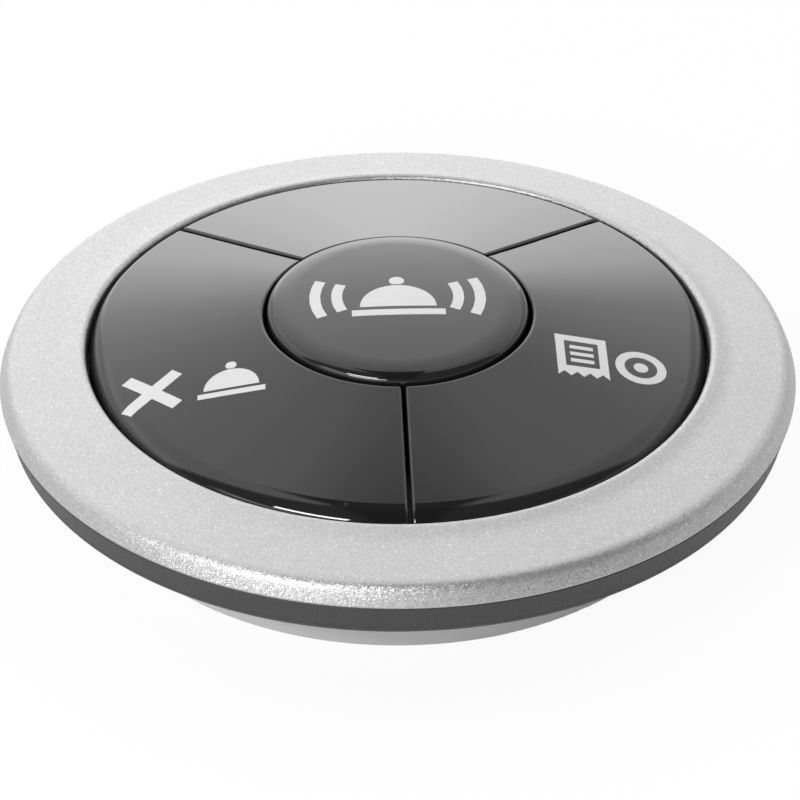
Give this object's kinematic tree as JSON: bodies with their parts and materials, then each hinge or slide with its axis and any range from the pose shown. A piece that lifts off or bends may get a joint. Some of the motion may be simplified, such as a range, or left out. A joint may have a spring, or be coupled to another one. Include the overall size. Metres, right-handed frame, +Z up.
{
  "type": "waiter call button",
  "caption": "Round table-top call button: dished silver ring, domed black press keys over switches, dark band, pale foot with a sliding battery door.",
  "frame": {"origin": "centre of the footprint, on the table top that the rubber pads stand on", "axes": "+Z up out of the call key; the seam between the two side keys points along -Y, and the fixed rear panel and the battery door are on the +Y side"},
  "size_m": [0.088, 0.088, 0.0226],
  "materials": {
    "silver_paint": "satin silver lacquer with fine metal flakes, on moulded plastic",
    "gloss_black": "polished black plastic",
    "black_plastic": "black moulded plastic",
    "dark_grey_plastic": "dark grey plastic with a fine moulded grain",
    "pale_grey_plastic": "light grey plastic with a fine moulded grain",
    "pad_rubber": "matt rubber",
    "screw_steel": "zinc-plated steel",
    "switch_steel": "bright pressed steel",
    "board_green": "green solder resist over glass laminate",
    "tinned_copper": "tinned copper",
    "chip_ceramic": "black-glazed chip resistors with pale ends",
    "tan_ceramic": "tan ceramic with tinned ends",
    "lamp_red": "tinted clear resin",
    "wire_black": "plastic insulation",
    "battery_sleeve": "plain blue shrink sleeve with a bare metal end",
    "contact_nickel": "nickel-plated spring steel"
  },
  "bodies": {
    "housing": {"bezel_ring": "silver_paint", "key_frame": "black_plastic", "rear_panel": "gloss_black", "lower_housing": "dark_grey_plastic", "base_cover": "pale_grey_plastic", "rubber_pads": "pad_rubber", "housing_screws": "screw_steel", "cover_screws": "screw_steel", "board_screws": "screw_steel", "circuit_board": "board_green", "switch_bases": "black_plastic", "switch_covers": "switch_steel", "encoder_chip": "black_plastic", "chip_leads": "tinned_copper", "resonator": "switch_steel", "transistors": "black_plastic", "chip_resistors": "chip_ceramic", "chip_capacitors": "tan_ceramic", "status_led": "lamp_red", "antenna_wire": "wire_black", "battery": "battery_sleeve", "battery_plate_contact": "contact_nickel", "battery_spring_contact": "contact_nickel"},
    "call_key": {"call_key": "gloss_black", "call_switch_plunger": "black_plastic"},
    "cancel_key": {"cancel_key": "gloss_black", "cancel_switch_plunger": "black_plastic"},
    "bill_key": {"bill_key": "gloss_black", "bill_switch_plunger": "black_plastic"},
    "battery_door": {"battery_door": "pale_grey_plastic"}
  },
  "joints": [
    {"name": "call_key_press", "type": "slide", "parent": "housing", "child": "call_key", "axis": [0, 0, -1], "range_m": [0, 0.0005], "stiffness_N_per_m": 1500, "springref_m": -0.0005},
    {"name": "cancel_key_press", "type": "slide", "parent": "housing", "child": "cancel_key", "axis": [0, 0, -1], "range_m": [0, 0.0005], "stiffness_N_per_m": 1500, "springref_m": -0.0005},
    {"name": "bill_key_press", "type": "slide", "parent": "housing", "child": "bill_key", "axis": [0, 0, -1], "range_m": [0, 0.0005], "stiffness_N_per_m": 1500, "springref_m": -0.0005},
    {"name": "battery_door_slide", "type": "slide", "parent": "housing", "child": "battery_door", "axis": [0, 1, 0], "range_m": [0, 0.007]}
  ]
}
